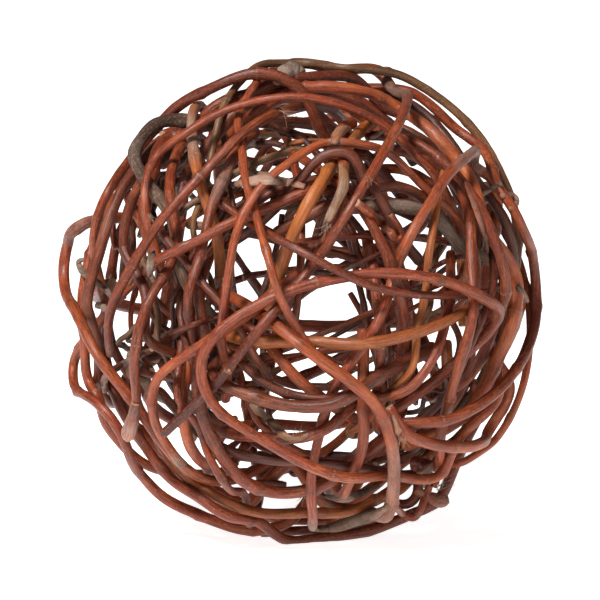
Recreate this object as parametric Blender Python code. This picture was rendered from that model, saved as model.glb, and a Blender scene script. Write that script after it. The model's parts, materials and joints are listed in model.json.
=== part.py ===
# Decorative ball woven from willow twigs.
# Every twig is a tapered rod that runs in a long curve round a hollow ball and passes over and under
# the others. The ball stands on a small flat spot, with +Z up and -Y as its front.
import math
import random

import bmesh
import bpy
import numpy as np
from mathutils import Matrix, Vector

# Driving dimensions, in metres
ball_diameter = 0.200
stout_twig = 0.0058  # thickness at the butt end
medium_twig = 0.0049
slim_twig = 0.0039
layer_step = 0.0026  # how much deeper each layer of twigs lies in the wall
twig_gap = 0.0003  # clearance between twigs that touch
ground_press = 0.0004  # how much the flat spot takes off a twig that rests on the ground
flat_spot = 0.034  # radius within which the outer twigs bend down to the ground
level_share = 0.65  # of that radius, within which they lie on it
resting_depth = 0.008  # and how deep in the wall those twigs may lie

# Shape of the twigs
tip_share = 0.80  # thickness at the thin end, as a share of the butt
twig_sides = 5
chord_error = 0.0010  # how far a straight stretch may leave the curve
longest_stretch = 0.027
sample_step = 0.0015
evened_samples = 4  # on either side, over which the bending is evened out

# The routes are given as seen from the front, with the eye a little above the ball
view_tilt = math.radians(10)
deepest_layer = 6
hidden_layer = 8
farthest_edge = 80  # hundredths; a twig with a longer way to the far half ends before it
short_end = 50  # hundredths; and then it sinks in under the others
settling_share = 0.4  # of an unseen stretch, over which it reaches its own layer
tail_bends = (5, 55)  # degrees
tail_tries = 10
back_bends = (-14, 14)
back_sinks = (0, 3)  # layers
end_sink = 5  # layers, at both ends
seed = 4

# How the twigs are threaded through the wall, and how they settle against each other
level_step = 0.0011  # the depths that are tried lie this far apart
deepest_level = 28  # in those steps, below the ball's surface
proudest_level = 1  # and above it
straying_cost = 0.03
seen_cost = 0.12  # the same, where a twig's route is given
outline_cost = 0.8  # and as much more where that route forms the outline
lifting_cost = 0.8  # for a twig that should rest on the ground
standing_proud_cost = 2.0
bending_cost = 0.3
meeting_cost = 12.0
threading_passes = 6
passing_shares = (0.1, 0.3, 0.5, 0.7, 0.9)  # where else along a stretch its clearance is looked at
window_rounds = 60
window_share = 0.3  # of what a twig covers of a window, cleared in one round
window_easing = 0.1
easing_rounds = 300
easing_share = 0.4
nudging_rounds = 150
nudging_share = 0.15
most_nudged = 0.0030
thinnest_share = 0.35  # of its thickness, where a twig is squeezed between others
window_push = 0.0003  # how far a twig is moved out of a window in one round

ball_radius = ball_diameter / 2
percent = ball_radius / 100
to_right = np.array([1.0, 0.0, 0.0])
to_viewer = np.array([0.0, -math.cos(view_tilt), math.sin(view_tilt)])
to_top = np.array([0.0, math.sin(view_tilt), math.cos(view_tilt)])
depth_levels = level_step * np.arange(-proudest_level, deepest_level)

bark_finish = {
    "red_bark": ((0.235, 0.062, 0.034), 0.45),
    "dark_bark": ((0.120, 0.034, 0.022), 0.55),
    "tan_bark": ((0.420, 0.150, 0.048), 0.50),
    "grey_bark": ((0.250, 0.190, 0.150), 0.75),
    "olive_bark": ((0.190, 0.100, 0.050), 0.50),
}

# Front twigs: name, bark, thickness, then how far the twig runs on unseen before and after its
# points. A point is (across, up, layer), in hundredths of the ball's radius from the middle of the
# front view, with layer 0 outermost.
front_twigs = [
    ("outer_left_arch", "red_bark", medium_twig, 20, 300,
     [(-88, 27, 1), (-80, 44, 1), (-71, 58, 2), (-55, 76, 1), (-40, 84, 0), (-20, 87, 1), (-8, 88, 1)]),
    ("left_loop", "red_bark", medium_twig, 100, 340,
     [(-84, 32, 3), (-92, 30, 0), (-98, 22, 0), (-99, 8, 0), (-92, -8, 0), (-84, -23, 0),
      (-74, -38, 1), (-61, -57, 2)]),
    ("second_arch", "red_bark", stout_twig, 100, 270,
     [(-64, 55, 2), (-56, 70, 2), (-45, 78, 1), (-30, 85, 1), (-12, 88, 2)]),
    ("third_arch", "red_bark", slim_twig, 40, 190,
     [(-63, 50, 1), (-60, 58, 1), (-50, 66, 0), (-30, 78, 0), (-10, 82, 0), (10, 82, 0),
      (30, 75, 2), (45, 67, 2), (57, 57, 2)]),
    ("bent_diagonal", "red_bark", medium_twig, 290, 0,
     [(22, 94, 2), (35, 93, 1), (43, 86, 0), (41, 74, 0), (30, 53, 0), (15, 29, 2), (2, 11, 3),
      (-9, -2, 3), (-27, -24, 1), (-43, -41, 1), (-57, -53, 0)]),
    ("left_diagonal", "red_bark", medium_twig, 130, 0,
     [(-9, 79, 2), (-17, 73, 1), (-30, 61, 1), (-50, 41, 0), (-65, 20, 0), (-75, 2, 0),
      (-80, -13, 0), (-79, -24, 1)]),
    ("centre_bend", "red_bark", slim_twig, 140, 210,
     [(-41, 46, 3), (-30, 38, 3), (-17, 29, 2), (0, 19, 0), (15, 11, 0), (30, 4, 1), (50, 1, 2),
      (66, 1, 3)]),
    ("big_lower_loop", "red_bark", medium_twig, 140, 110,
     [(74, -46, 2), (66, -60, 1), (58, -74, 0), (48, -76, 1), (33, -75, 1), (14, -73, 0),
      (-4, -67, 0), (-28, -52, 0), (-38, -42, 0), (-41, -30, 0), (-36, -17, 0), (-22, -7, 1),
      (-8, -1, 2), (10, 5, 2), (25, 8, 2), (38, 9, 0), (55, 7, 0), (70, 2, 0), (79, -4, 0),
      (81, -9, 1), (72, -19, 3)]),
    ("upper_arch", "red_bark", medium_twig, 130, 240,
     [(-20, 82, 3), (-10, 88, 2), (0, 91, 1), (20, 92, 1), (40, 86, 2), (57, 76, 2), (70, 62, 3),
      (75, 52, 3)]),
    ("right_elbow", "red_bark", medium_twig, 140, 0,
     [(80, 46, 3), (80, 56, 1), (75, 61, 0), (66, 57, 0), (55, 45, 0), (42, 20, 2), (40, 7, 3),
      (33, -13, 1), (22, -31, 2), (12, -48, 2), (6, -62, 3), (4, -74, 2), (4, -87, 0), (5, -96, 1)]),
    ("outer_right_loop", "red_bark", medium_twig, 60, 0,
     [(49, 84, 2), (60, 79, 2), (69, 69, 1), (76, 56, 1), (82, 43, 1), (90, 31, 0), (97, 15, 0),
      (98, -3, 0), (95, -16, 0), (86, -30, 0), (70, -43, 0), (55, -50, 0), (41, -54, 1), (35, -56, 3)]),
    ("outer_top_arch", "olive_bark", slim_twig, 300, 130,
     [(-28, 86, 1), (-22, 93, 0), (-12, 97, 0), (0, 98, 0), (20, 95, 0), (44, 88, 0),
      (58, 80, 1), (68, 71, 1), (78, 60, 1), (86, 45, 1)]),
    ("long_slender", "red_bark", slim_twig, 240, 140,
     [(10, 95, 3), (-8, 95, 2), (-20, 89, 0), (-25, 79, 2), (-26, 64, 2), (-23, 45, 2),
      (-18, 26, 1), (-13, 9, 0), (-8, -7, 0), (0, -23, 0), (14, -37, 1)]),
    ("crossing_arch", "red_bark", slim_twig, 110, 160,
     [(68, 35, 3), (60, 43, 3), (50, 52, 2), (41, 59, 2), (30, 62, 1), (14, 64, 1), (0, 59, 0),
      (-10, 51, 0), (-20, 40, 0), (-27, 26, 0), (-31, 9, 1), (-34, -13, 2)]),
    ("grey_elbow", "grey_bark", stout_twig, 80, 190,
     [(-57, 72, 1), (-65, 68, 0), (-69, 61, 0), (-67, 50, 0), (-63, 38, 1), (-60, 30, 2)]),
    ("left_upright", "red_bark", medium_twig, 160, 0,
     [(-55, 57, 3), (-56, 34, 2), (-60, -5, 2), (-65, -30, 1), (-69, -50, 0), (-70, -56, 0)]),
    ("left_inner_bow", "dark_bark", medium_twig, 100, 140,
     [(-71, 48, 2), (-74, 28, 2), (-73, 18, 2), (-67, 3, 2), (-61, -12, 3)]),
    ("left_outer_bow", "dark_bark", medium_twig, 130, 190,
     [(-70, 50, 3), (-80, 31, 2), (-88, 4, 1), (-89, -4, 1), (-87, -12, 2)]),
    ("kinked_left_bottom", "red_bark", medium_twig, 100, 100,
     [(-90, -12, 2), (-95, -26, 0), (-95, -32, 0), (-88, -39, 0), (-80, -48, 0), (-74, -57, 0),
      (-69, -67, 0), (-60, -77, 0), (-49, -85, 0), (-36, -91, 0), (-22, -96, 1)]),
    ("left_edge", "red_bark", medium_twig, 210, 180,
     [(-89, -20, 2), (-88, -34, 1), (-85, -45, 0), (-79, -57, 0), (-72, -68, 1)]),
    ("stout_lower_right", "red_bark", stout_twig, 100, 110,
     [(-5, -13, 2), (10, -25, 1), (25, -38, 0), (33, -48, 0), (37, -60, 0), (38, -70, 0),
      (37, -80, 0), (33, -88, 0), (24, -93, 1), (8, -96, 1)]),
    ("inner_diagonal", "red_bark", medium_twig, 100, 110,
     [(-52, 12, 3), (-44, 2, 3), (-36, -6, 3), (-21, -20, 2), (-10, -30, 1), (4, -42, 2)]),
    ("low_wide_arc", "dark_bark", stout_twig, 100, 160,
     [(-30, -36, 3), (-15, -43, 2), (0, -45, 2), (15, -42, 2), (27, -36, 3)]),
    ("low_narrow_arc", "dark_bark", slim_twig, 110, 130,
     [(-28, -30, 3), (-15, -37, 3), (-5, -41, 3), (10, -41, 3)]),
    ("grey_tipped_hook", "red_bark", medium_twig, 100, 0,
     [(-36, -16, 2), (-48, -24, 1), (-58, -32, 0), (-61, -40, 0), (-60, -52, 1), (-54, -64, 1),
      (-49, -70, 1)]),
    ("upper_left_inner", "dark_bark", slim_twig, 100, 160,
     [(-53, 19, 2), (-45, 8, 2), (-36, -1, 3)]),
    ("steep_left_inner", "red_bark", medium_twig, 110, 140,
     [(-29, 58, 3), (-36, 41, 3), (-42, 22, 2), (-45, 10, 2)]),
    ("rising_left_inner", "red_bark", medium_twig, 100, 110,
     [(-49, 19, 2), (-33, 28, 2), (-18, 36, 3), (-2, 44, 2)]),
    ("stout_orange", "tan_bark", stout_twig, 50, 100,
     [(13, 57, 1), (5, 42, 1), (-4, 28, 2), (-10, 10, 3), (-13, 2, 3)]),
    ("small_arch", "dark_bark", medium_twig, 100, 100,
     [(-2, 50, 1), (8, 58, 0), (15, 60, 0), (22, 57, 0), (27, 50, 1)]),
    ("upper_upright", "red_bark", medium_twig, 80, 0,
     [(16, 60, 2), (17, 46, 1), (13, 31, 2), (10, 22, 4)]),
    ("grey_crossbar", "grey_bark", stout_twig, 100, 110,
     [(28, 42, 2), (42, 41, 1), (57, 38, 1), (67, 31, 2)]),
    ("dark_crossbar", "dark_bark", medium_twig, 110, 130,
     [(28, 45, 3), (42, 49, 2), (55, 46, 2)]),
    ("centre_right_slant", "red_bark", medium_twig, 100, 140,
     [(20, 42, 3), (30, 27, 3), (36, 14, 3)]),
    ("slender_upright", "tan_bark", slim_twig, 100, 100,
     [(56, 38, 3), (53, 18, 2), (53, 0, 3), (51, -12, 2), (48, -26, 2), (42, -38, 2)]),
    ("right_bow", "red_bark", medium_twig, 110, 160,
     [(61, 50, 2), (71, 33, 2), (80, 17, 1), (84, 3, 1), (83, -6, 2)]),
    ("stout_right_arch", "red_bark", stout_twig, 110, 140,
     [(0, 87, 2), (20, 87, 1), (40, 80, 2), (55, 67, 2), (66, 54, 2), (74, 36, 1), (81, 24, 1),
      (88, 11, 1), (88, -3, 1), (84, -18, 2), (77, -38, 2)]),
    ("upper_right_edge", "dark_bark", medium_twig, 110, 240,
     [(72, 50, 3), (80, 40, 2), (89, 27, 1)]),
    ("right_upright", "red_bark", medium_twig, 110, 60,
     [(69, 28, 3), (69, 5, 2), (68, -14, 1), (64, -34, 1), (59, -57, 2), (57, -69, 2),
      (54, -79, 1), (50, -88, 0), (46, -92, 0), (39, -87, 2)]),
    ("right_inner_slant", "dark_bark", slim_twig, 100, 140,
     [(75, -6, 3), (72, -19, 2), (69, -31, 2)]),
    ("orange_crossbar", "tan_bark", medium_twig, 110, 140,
     [(4, -20, 3), (25, -20, 2), (45, -16, 2), (62, -10, 2), (76, -3, 3)]),
    ("lower_sweep", "red_bark", medium_twig, 100, 140,
     [(59, -14, 3), (50, -31, 2), (40, -42, 2), (29, -50, 1), (17, -55, 1), (0, -60, 1),
      (-10, -61, 2)]),
    ("centre_right_upright", "red_bark", medium_twig, 100, 110,
     [(36, -10, 2), (35, -30, 2), (35, -44, 2)]),
    ("lower_right_hook", "red_bark", medium_twig, 190, 0,
     [(92, -27, 1), (92, -38, 0), (90, -48, 0), (84, -56, 0), (72, -60, 0), (58, -60, 0),
      (46, -58, 0), (40, -52, 1), (35, -44, 3)]),
    ("lower_right_edge", "red_bark", slim_twig, 240, 0,
     [(86, -50, 2), (79, -60, 0), (69, -69, 0), (62, -76, 0), (57, -82, 1)]),
    ("bottom_run", "red_bark", medium_twig, 130, 60,
     [(-68, -61, 2), (-54, -76, 1), (-39, -85, 0), (-23, -92, 0), (-8, -97, 0), (10, -100, 0),
      (24, -100, 0), (38, -97, 0), (48, -91, 0), (54, -84, 1)]),
    ("stout_red_bow", "red_bark", stout_twig, 100, 130,
     [(-45, -25, 2), (-43, -42, 2), (-38, -58, 1), (-30, -71, 1), (-20, -79, 1), (-8, -82, 2),
      (4, -81, 2)]),
    ("left_low_upright", "red_bark", medium_twig, 100, 140,
     [(-49, -52, 2), (-47, -66, 1), (-43, -79, 2)]),
    ("pink_low_slant", "red_bark", slim_twig, 80, 130,
     [(-47, -49, 2), (-42, -60, 2), (-36, -71, 0), (-30, -82, 0), (-24, -90, 1)]),
    ("low_orange_run", "tan_bark", medium_twig, 130, 100,
     [(-28, -84, 2), (-15, -87, 2), (5, -88, 2), (20, -88, 2), (33, -85, 2), (46, -81, 2)]),
    ("low_inner_run", "dark_bark", medium_twig, 130, 140,
     [(-34, -61, 4), (-18, -66, 4), (0, -67, 4), (20, -69, 4), (34, -71, 4)]),
    ("low_short_slant", "red_bark", medium_twig, 100, 60,
     [(24, -55, 3), (22, -68, 3), (19, -76, 2), (14, -85, 3)]),
    ("pale_upper_left", "tan_bark", medium_twig, 60, 180,
     [(-44, 77, 2), (-45, 63, 2), (-42, 50, 3)]),
]

# Back twigs: name, thickness, the way their middle faces in degrees (turn from the front, and rise),
# the slope of the twig there in degrees, its length in hundredths of the radius, and its layer
back_twigs = [
    ("back_arch", medium_twig, (175, 20), 35, 300, 1),
    ("back_slope", medium_twig, (195, 0), -40, 280, 0),
    ("back_crossbar", stout_twig, (165, -15), 5, 260, 1),
    ("back_upright", medium_twig, (210, 10), 80, 240, 2),
    ("back_low_run", medium_twig, (180, -50), -15, 250, 0),
    ("back_high_run", slim_twig, (185, 50), 10, 260, 0),
    ("base_back_run", medium_twig, (176, -79), 4, 220, 0),
]

# Windows that can be seen straight through both walls: (across, up, half its width, half its height)
windows = [
    (11, -3, 11, 7), (8, 73, 4, 3), (-20, 19, 3, 7), (-22, 2, 3, 5), (48, 57, 4, 3), (43, 33, 4, 4),
    (1, -31, 6, 4), (2, -52, 8, 6), (18, -46, 3, 3), (15, -62, 7, 5), (67, -38, 3, 8), (60, -22, 4, 5),
    (64, -13, 3, 3), (-35, -50, 4, 3), (-16, -63, 3, 2), (-6, -85, 9, 2), (-42, -66, 3, 3),
    (-39, -73, 2, 2), (44, -69, 3, 3), (31, -58, 2, 3), (-51, -81, 6, 3), (-56, -49, 2, 3),
]


def length_of(v):
    return math.sqrt(v[0] * v[0] + v[1] * v[1] + v[2] * v[2])


def unit(v):
    return v / length_of(v)


def cross(a, b):
    return np.array([a[1] * b[2] - a[2] * b[1], a[2] * b[0] - a[0] * b[2], a[0] * b[1] - a[1] * b[0]])


def dots(a, b):
    return a[:, 0] * b[:, 0] + a[:, 1] * b[:, 1] + a[:, 2] * b[:, 2]


def layer_radius(layer, thickness):
    """Distance from the ball's centre to the middle of a twig in that layer."""
    return ball_radius - layer * layer_step - thickness / 2


def front_point(across, up, layer, thickness):
    """A point on the front half of the ball, as seen in the front view."""
    x = across * percent
    y = up * percent
    deep = layer_radius(layer, thickness) ** 2 - x * x - y * y
    return x * to_right + y * to_top + math.sqrt(max(deep, 0.0)) * to_viewer


def smooth_run(points):
    """Closely spaced points along a smooth curve through the given ones."""
    ends = [2 * points[0] - points[1]] + points + [2 * points[-1] - points[-2]]
    run = []
    for a, b, c, d in zip(ends, ends[1:], ends[2:], ends[3:]):
        steps = max(2, math.ceil(length_of(c - b) / sample_step))
        ab = math.sqrt(length_of(b - a))
        bc = math.sqrt(length_of(c - b))
        cd = math.sqrt(length_of(d - c))
        leave = ((b - a) / ab - (c - a) / (ab + bc) + (c - b) / bc) * bc
        arrive = ((c - b) / bc - (d - b) / (bc + cd) + (d - c) / cd) * bc
        for i in range(steps):
            t = i / steps
            run.append(
                (2 * t ** 3 - 3 * t ** 2 + 1) * b + (t ** 3 - 2 * t ** 2 + t) * leave
                + (3 * t ** 2 - 2 * t ** 3) * c + (t ** 3 - t ** 2) * arrive
            )
    run.append(points[-1])
    return run


def in_windows(ways):
    """How many of these directions are seen within a window."""
    spots = np.array(ways) * ball_radius
    inside = np.zeros(len(ways), dtype=bool)
    for across, up, half_width, half_height in windows:
        off_x = (dots(spots, to_right[None, :]) / percent - across) / half_width
        off_y = (dots(spots, to_top[None, :]) / percent - up) / half_height
        inside |= off_x ** 2 + off_y ** 2 < 1
    return int(inside.sum())


def course(last, before_last, length, chance):
    """Directions round the ball from the end of a run, bending away from the viewer, until that
    length lies on the far half. An end that is too far from there stays short."""
    outward = unit(last)
    along = last - before_last
    along = unit(along - outward * sum(along * outward))
    side = cross(outward, along)
    bend = math.radians(chance.uniform(*tail_bends))
    if sum(side * to_viewer) > 0:
        bend = -bend
    axis = Vector(math.cos(bend) * side + math.sin(bend) * outward)
    turn = sample_step / (ball_radius * math.cos(bend))
    ways = []
    way = Vector(outward)
    unseen = 0.0
    while unseen < length * percent and (unseen or len(ways) * sample_step < farthest_edge * percent):
        way = Matrix.Rotation(turn, 3, axis) @ way
        ways.append(np.array(way))
        if sum(ways[-1] * to_viewer) < 0:
            unseen += sample_step
    if unseen == 0.0:
        ways = ways[:round(short_end * percent / sample_step)]
    return ways, unseen > 0.0


def run_on(last, before_last, length, thickness, chance):
    """Goes on from the end of a run, along the course that stays clear of the windows."""
    if not length:
        return []
    courses = [course(last, before_last, length, chance) for _ in range(tail_tries)]
    ways, reaches_far = min(courses, key=lambda tried: in_windows(tried[0]))
    layer = chance.uniform(1, deepest_layer) if reaches_far else hidden_layer
    settling = settling_share if reaches_far else 1.0
    start_radius = length_of(last)
    end_radius = layer_radius(layer, thickness)
    run = []
    for i, way in enumerate(ways):
        settled = min(1.0, (i + 1) / len(ways) / settling)
        settled = settled * settled * (3 - 2 * settled)
        run.append(way * (start_radius + (end_radius - start_radius) * settled))
    return run


def front_run(thickness, before, after, points, chance):
    """The whole run of a front twig, and which of its points were given."""
    run = smooth_run([front_point(*point, thickness) for point in points])
    head = run_on(run[0], run[1], before, thickness, chance)
    tail = run_on(run[-1], run[-2], after, thickness, chance)
    given = [0.0] * len(head) + [1.0] * len(run) + [0.0] * len(tail)
    return head[::-1] + run + tail, given


def back_run(thickness, facing, slope, length, layer, chance):
    turn, rise = (math.radians(angle) for angle in facing)
    middle = np.array([
        -math.sin(turn) * math.cos(rise), -math.cos(turn) * math.cos(rise), math.sin(rise),
    ])
    level = unit(cross(np.array([0.0, 0.0, 1.0]), middle))
    upward = cross(middle, level)
    along = math.cos(math.radians(slope)) * level + math.sin(math.radians(slope)) * upward
    side = cross(middle, along)
    bend = math.radians(chance.uniform(*back_bends))
    axis = Vector(math.cos(bend) * side + math.sin(bend) * middle)
    radius = layer_radius(layer, thickness)
    steps = math.ceil(length * percent / sample_step)
    sink = [chance.uniform(*back_sinks) * layer_step for _ in range(3)]
    run = []
    for i in range(steps + 1):
        share = i / steps
        turn = (share - 0.5) * length * percent / radius / math.cos(bend)
        deeper = sink[0] * (1 - share) + sink[1] * share + sink[2] * math.sin(2 * math.pi * share) / 2
        deeper += end_sink * layer_step * (2 * share - 1) ** 6
        way = Matrix.Rotation(turn, 3, axis) @ Vector(middle)
        run.append(np.array(way) * (radius - deeper))
    return run


def ring_centres(run, given):
    """Few points along the run, closer together where it bends more, and which were given."""
    dense = np.array(run)
    steps = dense[1:] - dense[:-1]
    lengths = np.sqrt(dots(steps, steps))
    ways = steps / lengths[:, None]
    turns = ways[1:] - ways[:-1]
    bends = np.sqrt(dots(turns, turns)) / sample_step
    ends = [np.full(evened_samples, bend) for bend in (bends[0], bends[-1])]
    padded = np.concatenate([ends[0], bends, ends[1]])
    width = 2 * evened_samples + 1
    eased = sum(padded[i:i + len(bends)] for i in range(width)) / width
    closeness = np.maximum(np.sqrt(eased / (8 * chord_error)), 1 / longest_stretch)
    closeness = np.concatenate([closeness[:1], closeness])
    passed = np.concatenate([[0.0], np.cumsum(closeness * lengths)])
    count = max(3, math.ceil(passed[-1]))
    marks = np.array([passed[-1] * i / count for i in range(count + 1)])
    centres = np.stack([np.interp(marks, passed, dense[:, k]) for k in range(3)], axis=1)
    return centres, np.interp(marks, passed, np.array(given))


def twig_radii(centres, thickness, butt_first):
    share = np.array([i / (len(centres) - 1) for i in range(len(centres))])
    if not butt_first:
        share = 1 - share
    return thickness / 2 * (1 - (1 - tip_share) * share)


def nearest_places(start_a, way_a, start_b, way_b):
    """How far along each of two stretches (0 to 1) their nearest points lie."""
    between = start_a - start_b
    aa = dots(way_a, way_a)
    bb = dots(way_b, way_b)
    ab = dots(way_a, way_b)
    ca = dots(way_a, between)
    cb = dots(way_b, between)
    spread = aa * bb - ab * ab
    flat = spread < 1e-9 * aa * bb
    s = np.where(flat, 0.5, (ab * cb - ca * bb) / np.where(flat, 1.0, spread))
    s = np.clip(s, 0.0, 1.0)
    t = np.clip((ab * s + cb) / bb, 0.0, 1.0)
    s = np.clip((ab * t - ca) / aa, 0.0, 1.0)
    return s, t


def meetings_of(places, radii, owner, first):
    """The places where one twig passes another, several for each pair of stretches and their
    nearest ones first: rings, shares along both stretches, the room needed in depth between them,
    and how much deeper the first stretch runs at the same depth of its rings."""
    rows, columns = np.meshgrid(first, first, indexing="ij")
    other = owner[rows] != owner[columns]
    rows = rows[other]
    columns = columns[other]
    ball = places / np.sqrt(dots(places, places))[:, None] * ball_radius
    way_a = ball[rows + 1] - ball[rows]
    way_b = ball[columns + 1] - ball[columns]
    nearest, _ = nearest_places(ball[rows], way_a, ball[columns], way_b)
    met = []
    for share in (None, *passing_shares):
        s = nearest if share is None else np.full(len(rows), share)
        point_a = ball[rows] + way_a * s[:, None]
        t = np.clip(dots(point_a - ball[columns], way_b) / dots(way_b, way_b), 0.0, 1.0)
        point_b = ball[columns] + way_b * t[:, None]
        between = point_a - point_b
        room = (radii[rows] * (1 - s) + radii[rows + 1] * s
                + radii[columns] * (1 - t) + radii[columns + 1] * t + twig_gap)
        free = room * room - dots(between, between)
        if share is None:
            close = free > 0
            rows, columns, way_a, way_b = rows[close], columns[close], way_a[close], way_b[close]
            s, t, free, point_a, point_b = s[close], t[close], free[close], point_a[close], point_b[close]
            nearest = nearest[close]
        cut = np.sqrt(dots(point_b, point_b)) - np.sqrt(dots(point_a, point_a))
        met.append((rows, s, columns, t, np.sqrt(np.maximum(free, 0.0)), cut))
    return [np.stack(values) for values in zip(*met)]


def thread_twig(wished, lowest, firmness, depths, meetings):
    """Finds one twig's depth at each ring, over or under the others, with little bending."""
    here = depth_levels[:, None]
    there = depth_levels[None, :]

    def straying(i):
        off = (depth_levels - wished[i]) / level_step
        cost = np.where(off < 0, standing_proud_cost, firmness[i]) * off ** 2
        return cost + np.where(depth_levels < lowest[i] - level_step / 2, 1e6, 0.0)

    cost = straying(0)
    came_from = []
    for i in range(len(wished) - 1):
        bend = ((there - here) - (wished[i + 1] - wished[i])) / level_step
        step = cost[:, None] + bending_cost * bend ** 2
        for s, ring, t, need, cut in meetings[i]:
            passed = depths[ring] * (1 - t) + depths[ring + 1] * t
            missing = need - np.abs(here * (1 - s) + there * s + cut - passed)
            step = step + meeting_cost * (np.maximum(missing, 0.0) / level_step) ** 2
        came_from.append(step.argmin(axis=0))
        cost = step.min(axis=0) + straying(i + 1)
    level = int(cost.argmin())
    picked = [level]
    for best in reversed(came_from):
        level = int(best[level])
        picked.append(level)
    picked.reverse()
    return depth_levels[picked]


def thread_all(places, radii, given, owner, first):
    """Threads the twigs one after another, a few times over, by moving their rings in or out."""
    lengths = np.sqrt(dots(places, places))
    wished = ball_radius - lengths
    steepness = np.maximum(-places[:, 2] / lengths, 1e-3)
    room_below = ball_radius - radii * math.cos(math.pi / twig_sides) + ground_press
    lowest = np.maximum(ball_radius - room_below / steepness, depth_levels[0])
    depths = np.maximum(wished, lowest)
    off_axis = np.sqrt(places[:, 0] ** 2 + places[:, 1] ** 2)
    resting = np.clip((flat_spot - off_axis) / (flat_spot * (1 - level_share)), 0.0, 1.0)
    resting = np.where((places[:, 2] < 0) & (wished < resting_depth), resting, 0.0)
    wished = wished + (lowest - wished) * resting
    edge_on = 1 - (dots(places, to_viewer[None, :]) / lengths) ** 2
    firmness = straying_cost + (seen_cost + outline_cost * edge_on ** 4 - straying_cost) * given
    firmness = firmness + (lifting_cost - firmness) * resting
    met = meetings_of(places, radii, owner, first)
    meetings = [[] for _ in places]
    for row, s, column, t, need, cut in zip(*(values.ravel() for values in met)):
        if need > 0:
            meetings[row].append((s, column, t, need, cut))
    starts = [0] + [i for i in range(1, len(owner)) if owner[i] != owner[i - 1]] + [len(owner)]
    for _ in range(threading_passes):
        for start, end in zip(starts, starts[1:]):
            depths[start:end] = thread_twig(
                wished[start:end], lowest[start:end], firmness[start:end], depths, meetings[start:end]
            )
    depths = ease_apart(depths, lowest, met)
    depths = np.where((resting > 0) & (depths < lowest + 2 * level_step), lowest, depths)
    return places * ((ball_radius - depths) / lengths)[:, None]


def ease_apart(depths, lowest, met):
    """Moves the rings in or out by small amounts, until each twig clears the ones it passes."""
    a, s, b, t, need, cut = met

    def apart():
        return depths[a] * (1 - s) + depths[a + 1] * s + cut - depths[b] * (1 - t) - depths[b + 1] * t

    order = np.where(apart()[0] >= 0, 1.0, -1.0)
    share = easing_share / ((1 - s) ** 2 + s ** 2 + (1 - t) ** 2 + t ** 2)
    for _ in range(easing_rounds):
        lack = np.where(need > 0, need - order * apart(), 0.0)
        push = np.maximum(lack, 0.0) * order * share
        push = np.where(lack == lack.max(axis=0), push, 0.0)
        moved = np.zeros_like(depths)
        np.add.at(moved, a, push * (1 - s))
        np.add.at(moved, a + 1, push * s)
        np.add.at(moved, b, -push * (1 - t))
        np.add.at(moved, b + 1, -push * t)
        depths = np.maximum(depths + moved, lowest)
    return depths


def clear_windows(places, radii, first, moved):
    """Adds to moved what keeps each stretch out of the windows, sideways in the front view."""
    x = places[:, 0]
    y = places[:, 1] * to_top[1] + places[:, 2] * to_top[2]
    for across, up, half_width, half_height in windows:
        wide = half_width * percent + radii[first]
        high = half_height * percent + radii[first]
        start_x = (x[first] - across * percent) / wide
        start_y = (y[first] - up * percent) / high
        way_x = (x[first + 1] - x[first]) / wide
        way_y = (y[first + 1] - y[first]) / high
        t = -(start_x * way_x + start_y * way_y) / np.maximum(way_x ** 2 + way_y ** 2, 1e-6)
        t = np.clip(t, 0.0, 1.0)
        off_x = (start_x + way_x * t) / wide
        off_y = (start_y + way_y * t) / high
        inside = 1 - np.sqrt((off_x * wide) ** 2 + (off_y * high) ** 2)
        hit = inside > 0
        size = np.maximum(np.sqrt(off_x ** 2 + off_y ** 2), 1e-6)[hit]
        share = np.minimum(inside * np.minimum(wide, high) * window_share, window_push)[hit] / size
        push = (off_x[hit] * share)[:, None] * to_right + (off_y[hit] * share)[:, None] * to_top
        moved_by = t[hit][:, None]
        np.add.at(moved, first[hit], push * (1 - moved_by))
        np.add.at(moved, first[hit] + 1, push * moved_by)


def open_windows(places, radii, first, inner):
    """Moves the twigs sideways out of the windows before they are threaded."""
    home = places.copy()
    for _ in range(window_rounds):
        moved = np.zeros_like(places)
        clear_windows(places, radii, first, moved)
        drift = places + moved - home
        eased = (drift[inner - 1] + drift[inner + 1]) / 2 - drift[inner]
        drift[inner] += eased * window_easing
        places = home + drift
    return places


def near_pairs(places, owner, first):
    """Pairs of stretches of different twigs that could touch."""
    a, b = np.triu_indices(len(first), 1)
    middle = (places[first] + places[first + 1]) / 2
    gap = middle[a] - middle[b]
    reach = longest_stretch * 1.4 + stout_twig * 2
    near = (owner[first[a]] != owner[first[b]]) & (dots(gap, gap) < reach * reach)
    return first[a[near]], first[b[near]]


def clearances(places, radii, a, b):
    """For pairs of stretches: shares along both, the way from the second to the first at their
    nearest points, and how wide both are together there."""
    way_a = places[a + 1] - places[a]
    way_b = places[b + 1] - places[b]
    s, t = nearest_places(places[a], way_a, places[b], way_b)
    between = places[a] + way_a * s[:, None] - places[b] - way_b * t[:, None]
    wide = radii[a] * (1 - s) + radii[a + 1] * s + radii[b] * (1 - t) + radii[b + 1] * t
    return s, t, between, wide


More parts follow.
